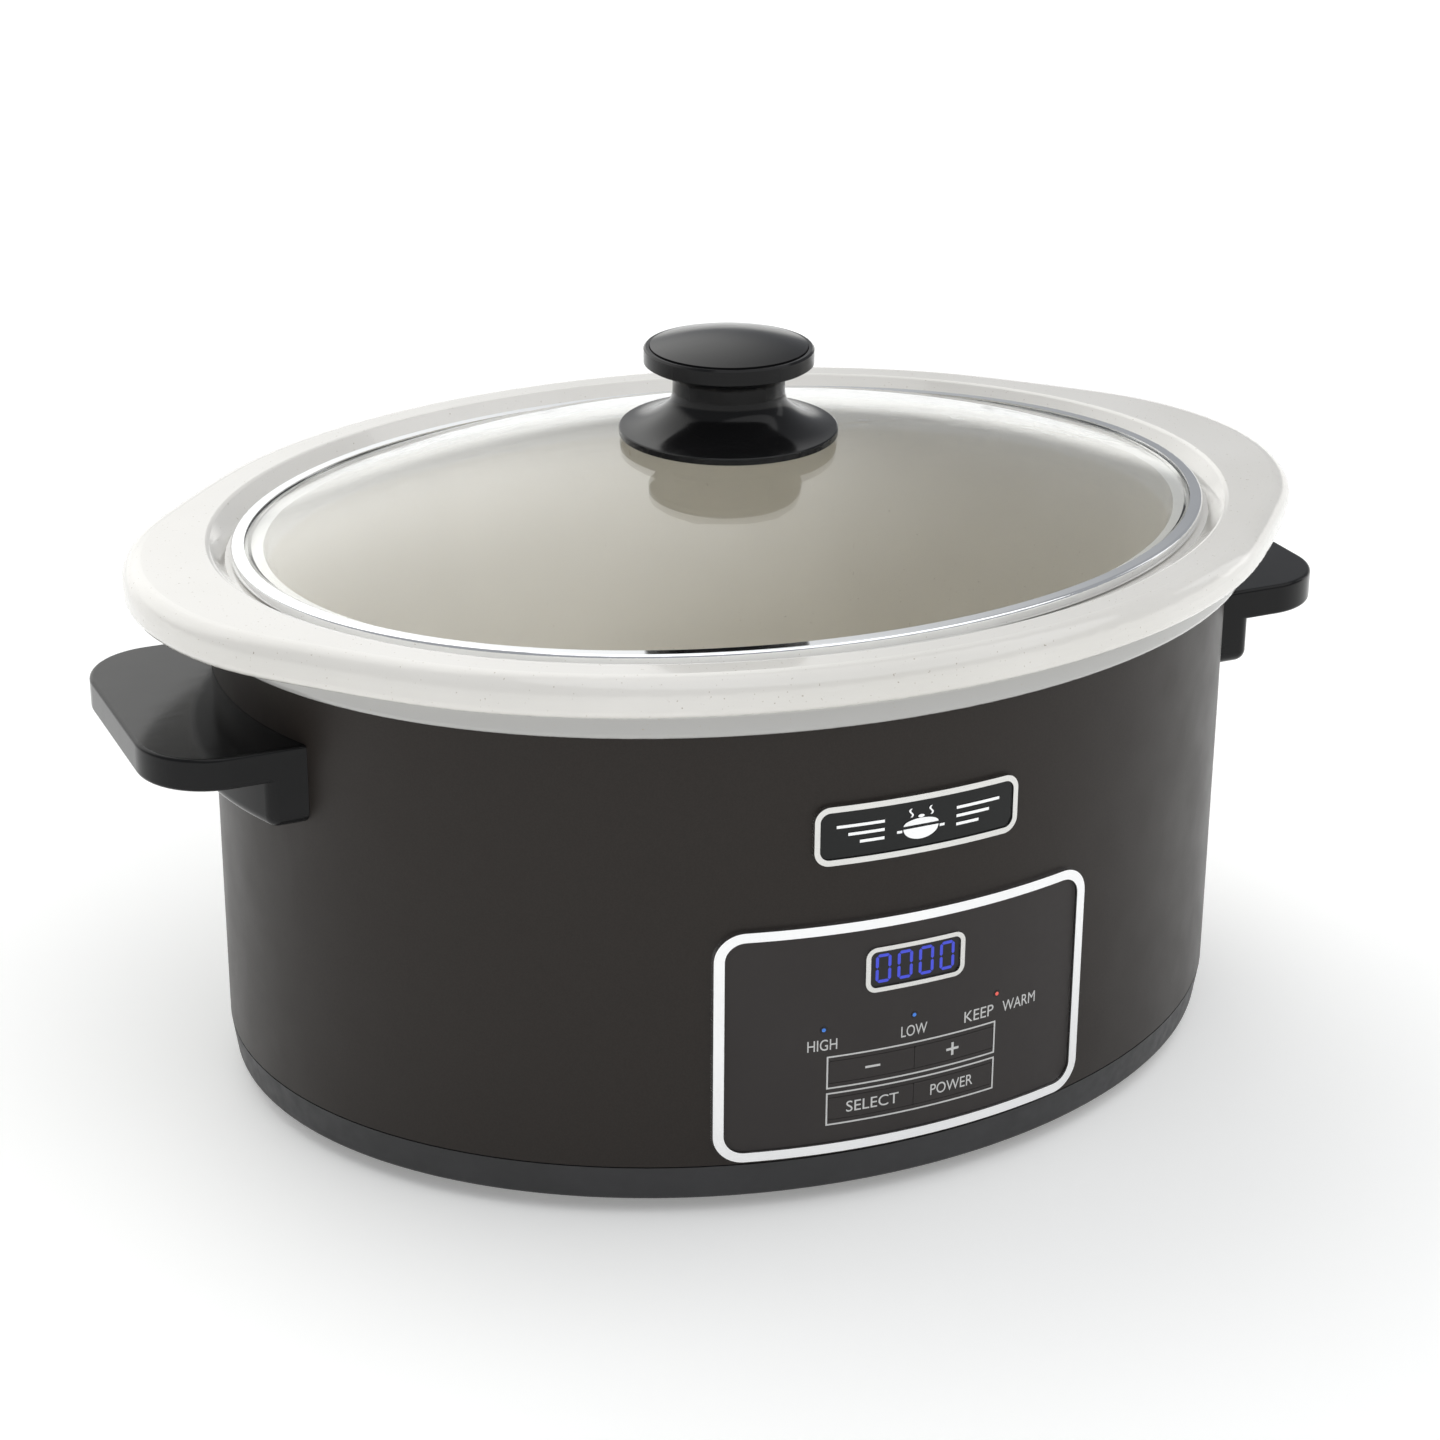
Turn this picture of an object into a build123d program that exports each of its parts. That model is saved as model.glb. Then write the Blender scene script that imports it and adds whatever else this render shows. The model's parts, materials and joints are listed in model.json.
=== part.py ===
from build123d import *
import math
import os

# Oval countertop slow cooker: a lift-out stoneware crock with a domed glass lid in an oval steel housing.
# Millimetres. The origin is on the table under the middle, +X to the right seen from the front,
# -Y to the front, +Z up.

# ---- driving dimensions ----
OVERALL_H = 228.6  # table to the top of the lid knob
RIM_HALF_X = 190.5  # crock rim, half of its 381 mm length
RIM_HALF_Y = 142.25  # crock rim, half of its 284.5 mm depth
RIM_OVAL_HALF_X = 180.0  # the oval that carries the two end lugs
RIM_SIDE_ANGLE = 42.9  # direction that the straight flank of a lug faces, from +X

WALL_RX, WALL_RY = 164.0, 133.5  # outside of the steel wall
WALL_T = 1.0
BASE_BOTTOM_Z = 5.0
SEAM_Z = 17.0  # joint between the base ring and the steel wall
WALL_TOP_Z = 153.5
BASE_DRAFT = 1.7  # the base ring is this much smaller at its foot
FLOOR_TOP_Z = 8.0
VENT_W = 3.2

LINER_FLOOR_Z = 27.0
LINER_T = 1.0
LINER_TOP = (157.0, 123.0)
LINER_BOTTOM = (143.0, 109.0)

BAND_Z = (42.0, 82.0)  # heater band
BAND_T = 2.4
CLAMP_Y, CLAMP_Z = 119.5, 62.0  # its clamp screw

COLLAR_Z = 154.6
COLLAR = (171.8, 137.7)
RIM_UNDER_Z = 162.5
RIM_TOP_Z = 174.3
RIDGE = (163.3, 129.7)  # inner edge of the rim's flat top
SEAT = (158.6, 121.8)  # foot of the slope inside that edge, where the lid sits
SEAT_Z = 168.7
CROCK_FOOT_Z = 31.0
CROCK_FLOOR_Z = 39.0
CROCK_OUTSIDE = ((140.0, 106.0), (154.0, 120.0))  # half-axes at the foot and under the collar
CROCK_INSIDE = ((132.0, 98.0), (146.2, 112.2))  # half-axes at the floor and at the lid's seat

LID = (156.7, 119.8)
LID_Z = 169.0
LID_RIM_H = 4.0
LID_RIM_W = 4.0
GLASS_T = 3.4
GLASS_EDGE_T = 3.0
GLASS_TOP_Z = 197.0

KNOB_UNDER_Z = 197.4
KNOB_FLANGE_R = 34.0
KNOB_DISC_R = 26.3
KNOB_DISC_Z = (219.4, 224.7)
KNOB_CAP_R = 24.4
KNOB_CAP_SEAT_Z = 221.7

HANDLE_X = 198.3  # outer edge of a handle
HANDLE_HALF_Y = 46.8
HANDLE_TOP_Z = 136.2
HANDLE_PLATE_T = 10.2
HANDLE_LEG_Z = 111.0
HANDLE_LEG_T = 10.5
HANDLE_CORNER_R = 22.0

PANEL_Z = 55.75  # middle of the control panel
PANEL_SIZE = (121.0, 74.5)
PANEL_CORNER_R = 9.0
BEZEL_W = 3.0
BEZEL_T = 1.8
OVERLAY_T = 0.8
APERTURE_Z = 57.0
APERTURE_SIZE = (88.0, 62.0)
DISPLAY_Z = 76.2
DISPLAY_FRAME_SIZE = (32.2, 14.4)
DISPLAY_WINDOW_SIZE = (29.2, 11.6)
LED_Z = 59.0
LED_X = {"led_high": -28.4, "led_low": 0.0, "led_warm": 28.4}
KEY_ROW_Z = {"upper": 44.65, "lower": 32.55}
KEY_ROW_X = 0.5
KEY_ROW_SIZE = (54.4, 7.4)  # the window in the overlay for a row of two keys
KEY_GAP = 0.15
KEY_W = KEY_ROW_SIZE[0] / 2 - 1.5 * KEY_GAP
KEY_H = KEY_ROW_SIZE[1] - 2 * KEY_GAP
KEY_LEFT_X = KEY_ROW_X - (KEY_W + KEY_GAP) / 2
KEY_RIGHT_X = KEY_ROW_X + (KEY_W + KEY_GAP) / 2
KEYS = {
    "key_minus": (KEY_LEFT_X, "upper"),
    "key_plus": (KEY_RIGHT_X, "upper"),
    "key_select": (KEY_LEFT_X, "lower"),
    "key_power": (KEY_RIGHT_X, "lower"),
}
NAMEPLATE_Z = 120.75
NAMEPLATE_SIZE = (65.0, 18.3)

BOARD_FRONT_Y = -124.5  # component face of the control board
BOARD_T = 1.6
SWITCH_H = 3.5
BOARD_SCREWS = [(-41.0, 30.0), (41.0, 30.0), (-41.0, 84.0), (41.0, 84.0)]

POWER_BOARD_Z = 10.0
POWER_BOARD_MIN = (24.0, -30.0)
POWER_BOARD_SIZE = (72.0, 60.0)
POWER_SCREWS = [(28.0, -26.0), (28.0, 26.0), (92.0, -26.0), (92.0, 26.0)]

FEET = {
    "foot_front_left": (-105.0, -58.0),
    "foot_front_right": (105.0, -58.0),
    "foot_rear_left": (-105.0, 58.0),
    "foot_rear_right": (105.0, 58.0),
}
BASE_SCREWS = [(sx * 100.0, sy * 88.0) for sx in (-1, 1) for sy in (-1, 1)]
BASE_BOSS_TOP_Z = 22.0
HANDLE_SCREWS = [(side, y) for side in (-1, 1) for y in (-28.0, 28.0)]
HANDLE_SCREW_Z = 120.0

GLAND_Z = 32.0
GLAND_BORE_R = 3.9
GLAND_INNER_Y = 120.0
GLAND_FLANGE_T = 3.0
GLAND_BODY_R = 6.5

FIT = 0.1  # clearance between pieces that are fixed to each other
LOW = (Align.CENTER, Align.CENTER, Align.MIN)


# ---- oval building blocks ----
def oval(rx, ry, z):
    return Plane.XY.offset(z) * Ellipse(rx, ry)


def oval_prism(rx, ry, z0, z1):
    return extrude(oval(rx, ry, z0), amount=z1 - z0)


def oval_taper(low, high, z0, z1):
    return loft([oval(*low, z0), oval(*high, z1)], ruled=True)


def wall_band(inner, outer, z0, z1):
    """The oval tube between two offsets from the outside of the steel wall."""
    solid = oval_prism(WALL_RX + outer, WALL_RY + outer, z0, z1)
    return solid - oval_prism(WALL_RX + inner, WALL_RY + inner, z0 - 1, z1 + 1)


def liner_oval(z, grow):
    """Half-axes of the tapering liner's outside at height z, grown by an offset."""
    share = (z - LINER_FLOOR_Z) / (WALL_TOP_Z - LINER_FLOOR_Z)
    return tuple(low + (high - low) * share + grow for low, high in zip(LINER_BOTTOM, LINER_TOP))


def liner_band(inner, outer, z0, z1):
    outside = oval_taper(liner_oval(z0, outer), liner_oval(z1, outer), z0, z1)
    return outside - oval_taper(liner_oval(z0 - 1, inner), liner_oval(z1 + 1, inner), z0 - 1, z1 + 1)


def front_prism(sketch, y0=-100.0, y1=-150.0):
    """A front-facing outline, drawn in X and Z, run from depth y0 forward to y1."""
    return extrude(Plane.XZ.offset(-y0) * sketch, amount=y0 - y1)


def front_patch(x, z, size, corner, inner, outer):
    """A rounded plate that follows the front of the oval wall between two offsets."""
    outline = Pos(x, z) * RectangleRounded(*size, corner)
    tall = size[1] / 2 + 5
    return front_prism(outline) & wall_band(inner, outer, z - tall, z + tall)


def y_rod(x, z, radius, y0, y1):
    return extrude(Plane.XZ.offset(-y0) * Pos(x, z) * Circle(radius), amount=y0 - y1)


def block(low, high):
    size = [b - a for a, b in zip(low, high)]
    return Pos(*low) * Box(*size, align=(Align.MIN, Align.MIN, Align.MIN))


def rod(x, y, radius, z0, z1):
    return Pos(x, y, z0) * Cylinder(radius, z1 - z0, align=LOW)


def tube(x, y, inner, outer, z0, z1):
    return rod(x, y, outer, z0, z1) - rod(x, y, inner, z0 - 1, z1 + 1)


def dome_arc(radius, edge_z, top_z):
    """Section of a shallow dome, level on the axis, from its edge up to its top."""
    rise = top_z - edge_z
    sphere_r = (radius**2 + rise**2) / (2 * rise)
    half_z = top_z - sphere_r + math.sqrt(sphere_r**2 - (radius / 2) ** 2)
    return ThreePointArc((radius, edge_z), (radius / 2, half_z), (0, top_z))


def turned(*edges):
    face = Plane.XZ * make_face([e for part in edges for e in part.edges()])
    return revolve(face, Axis.Z)


def bottom_edges(shape):
    return shape.edges().group_by(Axis.Z)[0]


def top_edges(shape):
    return shape.edges().group_by(Axis.Z)[-1]


# ---- crock ----
def rim_radius(angle):
    """Distance to the rim's edge at an angle: end arc, straight flank and oval, each tangent to the next."""
    a, b, phi = RIM_OVAL_HALF_X, RIM_HALF_Y, math.radians(RIM_SIDE_ANGLE)
    reach = math.hypot(a * math.cos(phi), b * math.sin(phi))
    arc_r = (reach - RIM_HALF_X * math.cos(phi)) / (1 - math.cos(phi))
    arc_x = RIM_HALF_X - arc_r
    flank_end = math.atan2(arc_r * math.sin(phi), arc_x + arc_r * math.cos(phi))
    flank_start = math.atan2(b * b * math.sin(phi), a * a * math.cos(phi))
    c, s = abs(math.cos(angle)), abs(math.sin(angle))
    t = math.atan2(s, c)
    if t >= flank_start:
        return 1 / math.hypot(c / a, s / b)
    if t >= flank_end:
        return reach / math.cos(t - phi)
    return arc_x * c + math.sqrt(arc_r**2 - (arc_x * s) ** 2)


def rim_face(z):
    turns = [math.tau * k / 48 for k in range(48)]
    points = [(rim_radius(t) * math.cos(t), rim_radius(t) * math.sin(t)) for t in turns]
    return Plane.XY.offset(z) * make_face(Spline(*points, periodic=True))


def stoneware_crock():
    rim = extrude(rim_face(RIM_UNDER_Z), amount=RIM_TOP_Z - RIM_UNDER_Z)
    rim = fillet(top_edges(rim), 6.0)
    rim = fillet(bottom_edges(rim), 3.0)
    collar = oval_prism(*COLLAR, COLLAR_Z, RIM_UNDER_Z + 3)
    collar = fillet(bottom_edges(collar), 2.0)
    body = oval_taper(*CROCK_OUTSIDE, CROCK_FOOT_Z, COLLAR_Z + 1)
    body = fillet(bottom_edges(body), 26.0)
    cavity = oval_taper(*CROCK_INSIDE, CROCK_FLOOR_Z, SEAT_Z + 1)
    cavity = fillet(bottom_edges(cavity), 22.0)
    seat = oval_taper(SEAT, RIDGE, SEAT_Z, RIM_TOP_Z)
    crock = rim + collar + body - cavity - seat
    ridge = [e for e in top_edges(crock) if e.bounding_box().max.X < RIDGE[0] + 1]
    return fillet(ridge, 1.8)


# ---- lid ----
def lid_glass():
    """Tempered dome of even thickness with a flat edge; turned round and then narrowed to the oval."""
    edge_r, edge_z = LID[0] - 1.0, LID_Z + 0.5
    edge_top = edge_z + GLASS_EDGE_T
    dome_r = edge_r - 4.2
    under_r = dome_r - 1.8
    outline = Polyline((dome_r, edge_top), (edge_r, edge_top), (edge_r, edge_z), (under_r, edge_z))
    axis = Line((0, GLASS_TOP_Z - GLASS_T), (0, GLASS_TOP_Z))
    top = dome_arc(dome_r, edge_top, GLASS_TOP_Z)
    under = dome_arc(under_r, edge_z, GLASS_TOP_Z - GLASS_T)
    dome = scale(turned(outline, axis, top, under), by=(1, (LID[1] - 1.0) / edge_r, 1))
    return dome - rod(0, 0, 4.0, 180, 200)


def lid_rim():
    ring = oval_prism(*LID, LID_Z, LID_Z + LID_RIM_H)
    ring = fillet(ring.edges(), 1.0)
    ring -= oval_prism(LID[0] - LID_RIM_W, LID[1] - LID_RIM_W, LID_Z - 1, LID_Z + LID_RIM_H + 1)
    groove = (LID[0] - 0.9, LID[1] - 0.9)
    return ring - oval_prism(*groove, LID_Z + 0.45, LID_Z + 0.55 + GLASS_EDGE_T)


def knob_body():
    """Flange, concave neck and grip disc; a recess on top for the cap, a boss below for the screw."""
    low, high = KNOB_DISC_Z
    flange_top = KNOB_UNDER_Z + 2.1
    under = Polyline((KNOB_FLANGE_R, flange_top - 0.3), (KNOB_FLANGE_R, KNOB_UNDER_Z), (31, KNOB_UNDER_Z))
    hollow = Polyline((31, KNOB_UNDER_Z), (29, 198.6), (13, 200.6), (9, 200.6), (9, 197.6), (2.5, 197.6))
    recess_r = KNOB_CAP_R + 0.2
    bore = Polyline((2.5, 197.6), (2.5, 214), (0, 214), (0, KNOB_CAP_SEAT_Z), (recess_r, KNOB_CAP_SEAT_Z))
    lip = Polyline((recess_r, KNOB_CAP_SEAT_Z), (recess_r, high), (KNOB_DISC_R - 0.6, high))
    edge = Polyline((KNOB_DISC_R - 0.6, high), (KNOB_DISC_R, high - 0.6), (KNOB_DISC_R, low + 0.5), (25.6, low))
    throat = Spline((25.6, low), (20.0, low - 1.2), (17.4, low - 4.4), tangents=[(-1, 0), (0, -1)])
    neck = Line((17.4, low - 4.4), (17.4, 211.0))
    flare = Spline((17.4, 211.0), (20.4, 205.0), (KNOB_FLANGE_R - 0.4, flange_top), tangents=[(0, -1), (1, -0.1)])
    brim = Line((KNOB_FLANGE_R - 0.4, flange_top), (KNOB_FLANGE_R, flange_top - 0.3))
    return turned(under, hollow, bore, lip, edge, throat, neck, flare, brim)


def knob_cap():
    edge_z = KNOB_DISC_Z[1] + 0.4
    foot = Polyline((0, OVERALL_H), (0, KNOB_CAP_SEAT_Z), (KNOB_CAP_R, KNOB_CAP_SEAT_Z), (KNOB_CAP_R, edge_z))
    return turned(foot, dome_arc(KNOB_CAP_R, edge_z, OVERALL_H))


def knob_screw():
    head = rod(0, 0, 5.5, 190.2, 192.45)
    head = fillet(bottom_edges(head), 1.2) - Pos(0, 0, 189) * Box(6.0, 1.2, 4.0)
    return head + rod(0, 0, 2.4, 192.45, 212.0)


# ---- housing ----
def housing_wall():
    wall = wall_band(-WALL_T, 0, SEAM_Z, WALL_TOP_Z)
    wall += wall_band(-4.4, -WALL_T / 2, WALL_TOP_Z - WALL_T, WALL_TOP_Z)
    wall -= front_prism(Pos(0, APERTURE_Z) * RectangleRounded(*APERTURE_SIZE, 4.0))
    wall -= y_rod(0, GLAND_Z, GLAND_BODY_R + FIT, 140, 120)
    for side, y in HANDLE_SCREWS:
        wall -= Pos(side * WALL_RX, y, HANDLE_SCREW_Z) * Rot(0, 90, 0) * Cylinder(2.3, 16)
    return wall


def base_tray():
    """Moulded base: drafted outer ring, floor, lip inside the wall, bosses, vents and screw holes."""
    foot = (WALL_RX - BASE_DRAFT, WALL_RY - BASE_DRAFT)
    tray = oval_taper(foot, (WALL_RX, WALL_RY), BASE_BOTTOM_Z, SEAM_Z - 0.4)
    tray = fillet(bottom_edges(tray), 1.5)
    inside = (WALL_RX - 4.5, WALL_RY - 4.5)
    tray -= oval_prism(*inside, FLOOR_TOP_Z, SEAM_Z + 1)
    tray += wall_band(-4.5, -WALL_T - 0.3, SEAM_Z - 2, SEAM_Z + 5)
    tray += rod(0, 0, 14, FLOOR_TOP_Z, 14) - rod(0, 0, 10, 4, 11)
    tray -= rod(0, 0, 10, 4, 11) + rod(0, 0, 2.8, 4, 15)
    for x, y in BASE_SCREWS:
        tray += rod(x, y, 5.0, FLOOR_TOP_Z - 1, BASE_BOSS_TOP_Z)
        tray -= rod(x, y, 4.0, 4, FLOOR_TOP_Z) + rod(x, y, 1.8, 4, BASE_BOSS_TOP_Z + 1)
    for x, y in POWER_SCREWS:
        tray += tube(x, y, 1.3, 3.2, FLOOR_TOP_Z - 0.5, POWER_BOARD_Z)
    for x, y in FEET.values():
        tray -= rod(x, y, 3.6, 4, FLOOR_TOP_Z + 1)
    vents = [(-62.0, -25.0 + 10.0 * row, 44.0) for row in range(6)]
    vents += [(side * 45.0, 62.0 + 9.0 * row, 40.0) for side in (-1, 1) for row in range(4)]
    for x, y, length in vents:
        tray -= extrude(Plane.XY.offset(4) * Pos(x, y) * SlotOverall(length, VENT_W), amount=6)
    return tray


def foot(x, y):
    pad = rod(x, y, 9.5, 0, BASE_BOTTOM_Z)
    pad = fillet(bottom_edges(pad), 1.2)
    return pad + rod(x, y, 3.5, BASE_BOTTOM_Z, 9.8) + rod(x, y, 5.0, FLOOR_TOP_Z + FIT, 9.8)


def wall_brackets():
    """Four angle brackets welded inside the wall; the base screws pull on their feet."""
    parts = []
    for x, y in BASE_SCREWS:
        reach = Pos(x, y, 30) * Box(24, 24, 40)
        inside = oval_prism(WALL_RX - WALL_T - 0.05, WALL_RY - WALL_T - 0.05, BASE_BOSS_TOP_Z + FIT, 23.3)
        upright = wall_band(-2.4, -WALL_T - 0.05, BASE_BOSS_TOP_Z + FIT, 38)
        bracket = (reach & inside) + (reach & upright)
        parts.append(bracket - rod(x, y, 1.8, 20, 25))
    return parts


def base_screws():
    return [rod(x, y, 3.6, 5.6, FLOOR_TOP_Z - FIT) + rod(x, y, 1.7, 7.5, 24.5) for x, y in BASE_SCREWS]


def heating_liner():
    """Spun aluminium well with a flange that hangs on the top of the steel wall."""
    well = oval_taper(LINER_BOTTOM, LINER_TOP, LINER_FLOOR_Z, WALL_TOP_Z)
    well = fillet(bottom_edges(well), 26.0)
    flange = oval_prism(WALL_RX - 1.2, WALL_RY - 1.2, WALL_TOP_Z, WALL_TOP_Z + 0.8)
    low = tuple(r - LINER_T for r in LINER_BOTTOM)
    high = tuple(r - LINER_T for r in liner_oval(WALL_TOP_Z + 2, 0))
    hollow = oval_taper(low, high, LINER_FLOOR_Z + LINER_T, WALL_TOP_Z + 2)
    return well + flange - fillet(bottom_edges(hollow), 25.0)


def heater_band():
    """Flat resistance band round the liner, split at the rear, with two clamp tabs."""
    band = liner_band(0.15, BAND_T, *BAND_Z) - block((-6, 0, 30), (6, 130, 95))
    for side in (-1, 1):
        low, high = sorted((side * 6.0, side * 7.6))
        tab = block((low, 114.3, 52), (high, 124, 72))
        band += tab - Pos(side * 7, CLAMP_Y, CLAMP_Z) * Rot(0, 90, 0) * Cylinder(2.2, 8)
    return band


def band_clamp_screw():
    turn = Pos(0, CLAMP_Y, CLAMP_Z) * Rot(0, 90, 0)
    shank = turn * Cylinder(2.0, 26)
    head = turn * Pos(0, 0, 9.4) * Cylinder(4.0, 3)
    return shank + head


def band_clamp_nut():
    turn = Pos(-9.4, CLAMP_Y, CLAMP_Z) * Rot(0, 90, 0)
    return turn * (extrude(RegularPolygon(4.0, 6), amount=1.6, both=True) - Cylinder(2.05, 8))


def liner_stud():
    return rod(0, 0, 2.5, 5.6, LINER_FLOOR_Z - FIT) + rod(0, 0, 6, 25.9, LINER_FLOOR_Z - FIT)


def stud_nut():
    nut = Pos(0, 0, 6.8) * extrude(RegularPolygon(5.0, 6), amount=4.0)
    return nut - rod(0, 0, 2.55, 5, 12)


def base_heat_shield():
    plate = oval_prism(110, 80, 22.6, 23.2)
    return plate + tube(0, 0, 4, 6, 23.1, 25.8) - rod(0, 0, 2.7, 20, 24)


def front_heat_shield():
    """Curved screen between the heater band and the control board."""
    sheet = oval_prism(154.6, 120.4, 24, 96) - oval_prism(154.0, 119.8, 20, 99)
    return sheet & front_prism(Pos(0, 60) * RectangleRounded(132, 72, 6), -60.0)


def thermal_fuse():
    return Pos(-34, 0, 25.2) * Rot(0, 90, 0) * Cylinder(1.5, 22)


def fuse_clip():
    turn = Pos(-34, 0, 25.2) * Rot(0, 90, 0)
    strap = turn * (Cylinder(1.95, 5) - Cylinder(1.55, 6))
    ears = Pos(-34, 0, 26.7) * (Box(5, 11, 0.4) - Box(6, 2.0, 1))
    return (strap + ears) & block((-40, -8, 20), (-28, 8, LINER_FLOOR_Z - 0.05))


def temperature_sensor():
    return rod(38, 0, 4.0, 24.6, LINER_FLOOR_Z - FIT)


def sensor_bracket():
    return Pos(38, 0, 24.2) * Box(24, 7, 0.6) + block((48, -3.5, 24.2), (50, 3.5, LINER_FLOOR_Z - FIT))


# ---- control panel ----
def panel_bezel():
    frame = front_patch(0, PANEL_Z, PANEL_SIZE, PANEL_CORNER_R, 0, BEZEL_T)
    inner = (PANEL_SIZE[0] - 2 * BEZEL_W, PANEL_SIZE[1] - 2 * BEZEL_W)
    return frame - front_prism(Pos(0, PANEL_Z) * RectangleRounded(*inner, PANEL_CORNER_R - BEZEL_W))


def panel_overlay():
    size = tuple(s - 2 * BEZEL_W - 2 * FIT for s in PANEL_SIZE)
    sheet = front_patch(0, PANEL_Z, size, PANEL_CORNER_R - BEZEL_W, 0, OVERLAY_T)
    sheet -= front_prism(Pos(0, DISPLAY_Z) * RectangleRounded(29.6, 12.0, 2.2))
    for x in LED_X.values():
        sheet -= y_rod(x, LED_Z, 1.1, -100, -150)
    for z in KEY_ROW_Z.values():
        sheet -= front_prism(Pos(KEY_ROW_X, z) * RectangleRounded(*KEY_ROW_SIZE, 0.4))
    return sheet


def display_frame():
    frame = front_patch(0, DISPLAY_Z, DISPLAY_FRAME_SIZE, 3.4, OVERLAY_T, OVERLAY_T + 0.6)
    return frame - front_prism(Pos(0, DISPLAY_Z) * RectangleRounded(*DISPLAY_WINDOW_SIZE, 2.0))


def display_window():
    return front_patch(0, DISPLAY_Z, DISPLAY_WINDOW_SIZE, 2.0, -1.0, OVERLAY_T - 0.1)


def display_module():
    return block((-13.5, -131.0, 70.8), (13.5, BOARD_FRONT_Y, 81.6))


def light_pipe(x):
    tip = y_rod(x, LED_Z, 1.0, -126, -140) & oval_prism(WALL_RX + 0.9, WALL_RY + 0.9, 50, 70)
    return tip + y_rod(x, LED_Z, 1.7, BOARD_FRONT_Y, -128.0)


def key_cap(x, row):
    """A key: face flush with the overlay, a retaining flange behind it and a stem onto its switch."""
    z = KEY_ROW_Z[row]
    cap = front_patch(x, z, (KEY_W, KEY_H), 0.3, -1.6, OVERLAY_T)
    cap += front_patch(x, z, (KEY_W - 0.4, KEY_H + 2.2), 0.6, -1.6, -0.6)
    return cap + y_rod(x, z, 1.6, -127.6, -131.8)


def tact_switches():
    parts = []
    for x, row in KEYS.values():
        z = KEY_ROW_Z[row]
        body = block((x - 3, BOARD_FRONT_Y - SWITCH_H, z - 3), (x + 3, BOARD_FRONT_Y, z + 3))
        parts.append(body - y_rod(x, z, 1.9, -126.8, -129))
    return parts


def control_carrier():
    """Moulded frame between the wall and the control board, with four screw bosses."""
    outline = Pos(0, APERTURE_Z) * (Rectangle(98, 70) - Rectangle(92, 64))
    frame = front_prism(outline, -121.4)
    for x, z in BOARD_SCREWS:
        frame += y_rod(x, z, 3.2, BOARD_FRONT_Y, -140)
        side = math.copysign(1, x)
        low, high = sorted((x, side * 47.0))
        frame += block((low, -140, z - 1.2), (high, BOARD_FRONT_Y, z + 1.2))
        frame -= y_rod(x, z, 1.25, -120, -127.4)
    return frame & oval_prism(WALL_RX - WALL_T - FIT, WALL_RY - WALL_T - FIT, 20, 95)


def control_board():
    board = block((-45.6, BOARD_FRONT_Y, 25.4), (45.6, BOARD_FRONT_Y + BOARD_T, 88.6))
    for x, z in BOARD_SCREWS:
        board -= y_rod(x, z, 1.4, -120, -127)
    return board


def board_screws():
    back = BOARD_FRONT_Y + BOARD_T
    screw = y_rod(0, 0, 1.2, back + 0.5, -127.2) + y_rod(0, 0, 2.4, back + 1.4, back)
    return [Pos(x, 0, z) * screw for x, z in BOARD_SCREWS]


def microcontroller():
    back = BOARD_FRONT_Y + BOARD_T
    return block((-8, back, 48), (8, back + 1.2, 64))


def nameplate_frame():
    frame = front_patch(0, NAMEPLATE_Z, NAMEPLATE_SIZE, 4.6, 0, 1.6)
    inner = (NAMEPLATE_SIZE[0] - 3.2, NAMEPLATE_SIZE[1] - 3.6)
    return frame - front_prism(Pos(0, NAMEPLATE_Z) * RectangleRounded(*inner, 3.0))


def nameplate_plate():
    size = (NAMEPLATE_SIZE[0] - 3.4, NAMEPLATE_SIZE[1] - 3.8)
    return front_patch(0, NAMEPLATE_Z, size, 2.9, 0, 1.0)


# ---- power electronics on the base ----
def power_board():
    x, y = POWER_BOARD_MIN
    w, d = POWER_BOARD_SIZE
    board = block((x, y, POWER_BOARD_Z), (x + w, y + d, POWER_BOARD_Z + BOARD_T))
    for sx, sy in POWER_SCREWS:
        board -= rod(sx, sy, 1.4, 5, 15)
    return board


def power_board_screws():
    top = POWER_BOARD_Z + BOARD_T
    screw = rod(0, 0, 1.25, FLOOR_TOP_Z + 0.2, top + 0.5) + rod(0, 0, 2.4, top, top + 1.6)
    return [Pos(x, y) * screw for x, y in POWER_SCREWS]


def board_block(x, y, size, corner):
    """A boxy component that stands on the power board, its upright edges rounded."""
    body = Pos(x, y, POWER_BOARD_Z + BOARD_T) * Box(*size, align=LOW)
    return fillet(body.edges().filter_by(Axis.Z), corner)


def terminal_block():
    body = board_block(81, 12, (20, 12, 9), 0.6)
    for x in (76, 86):
        body -= rod(x, 12, 2.2, 17, 22)
        body -= y_rod(x, 15, 1.5, 19, 12)
    return body


def control_ribbon():
    """Flat cable from the power board, along the base and up to the back of the control board."""
    back = BOARD_FRONT_Y + BOARD_T
    run = block((32, -119.5, 12.0), (38, -26, 12.4)) + block((32, -119.5, 12.0), (38, -119.1, 36))
    plug = block((31.4, back, 29), (38.4, -119.1, 36))
    socket = block((31.4, -29.5, POWER_BOARD_Z + BOARD_T), (38.4, -24.5, 16))
    return run + plug + socket


def heater_leads():
    """Two sleeved leads from the terminal block to the clamp tabs of the heater band."""
    parts = []
    for start_x, side in ((76.0, -1), (86.0, 1)):
        stops = [(start_x, 18.4, 15), (start_x, 45, 15), (side * 14 + 22, 104, 15), (side * 14, 121, 24)]
        stops += [(side * 10.5, 122, 40), (side * 10.5, 122, 58)]
        path = FilletPolyline(*stops, radius=7)
        parts.append(sweep(Plane(path @ 0, z_dir=path % 0) * Circle(1.3), path=path))
    return parts


# ---- handles and cord entry ----
def handle_screw_frame(side, y):
    """Frame on the wall at a handle screw, its Z axis along the wall's outward normal."""
    x = side * WALL_RX * math.sqrt(1 - (y / WALL_RY) ** 2)
    normal = Vector(x / WALL_RX**2, y / WALL_RY**2, 0)
    return Plane(origin=(x, y, HANDLE_SCREW_Z), z_dir=normal).location


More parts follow.
